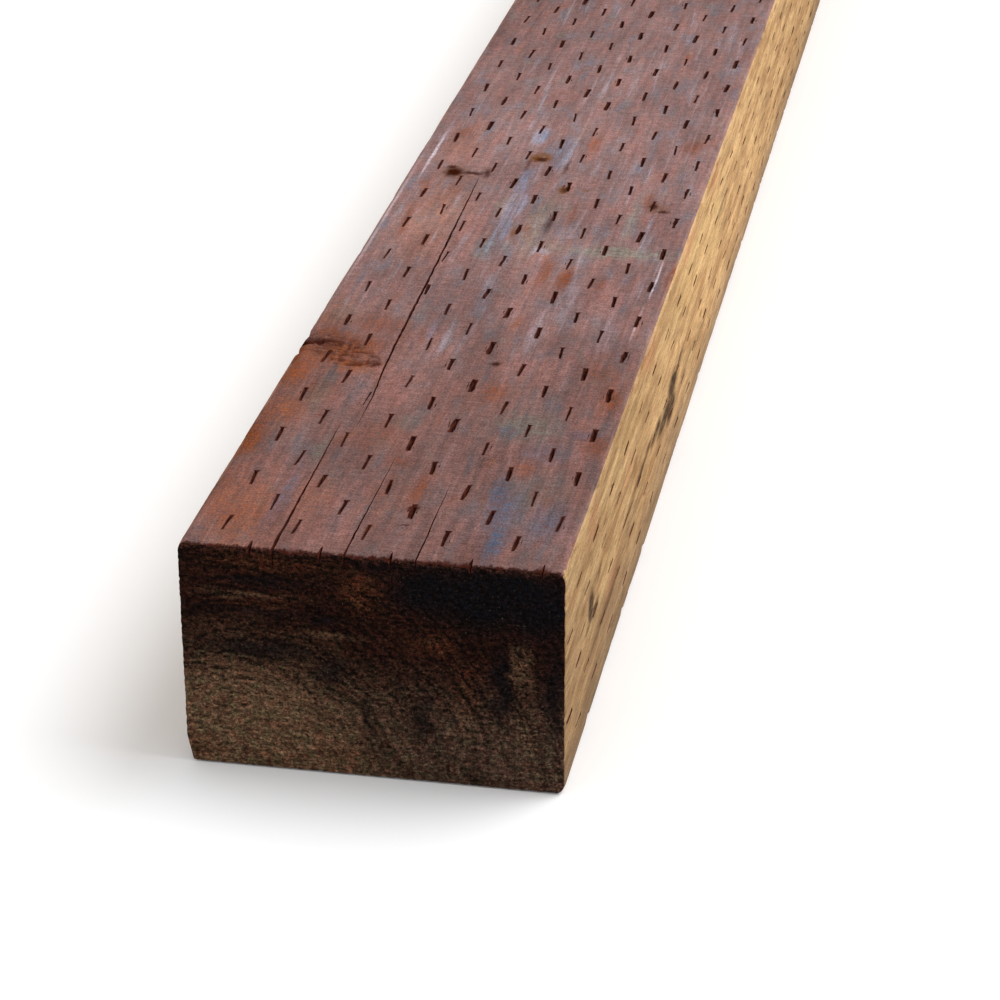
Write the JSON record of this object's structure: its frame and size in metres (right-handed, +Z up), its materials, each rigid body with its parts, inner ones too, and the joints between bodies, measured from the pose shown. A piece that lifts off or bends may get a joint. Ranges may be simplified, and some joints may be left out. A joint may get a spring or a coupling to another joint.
{
  "type": "pressure-treated timber",
  "caption": "Sawn softwood timber of rectangular section with eased long edges, incised on its long faces and treated brown for outdoor building work.",
  "frame": {"origin": "middle of the underside, the wide face that the timber lies on", "axes": "+X across the wide faces, +Y along the grain away from the checked near end, +Z up through the thickness"},
  "size_m": [0.1396, 2.4384, 0.0889],
  "materials": {
    "treated_wood": "brown preservative stain on dressed softwood, matt"
  },
  "bodies": {
    "root": {"timber": "treated_wood"}
  },
  "joints": []
}
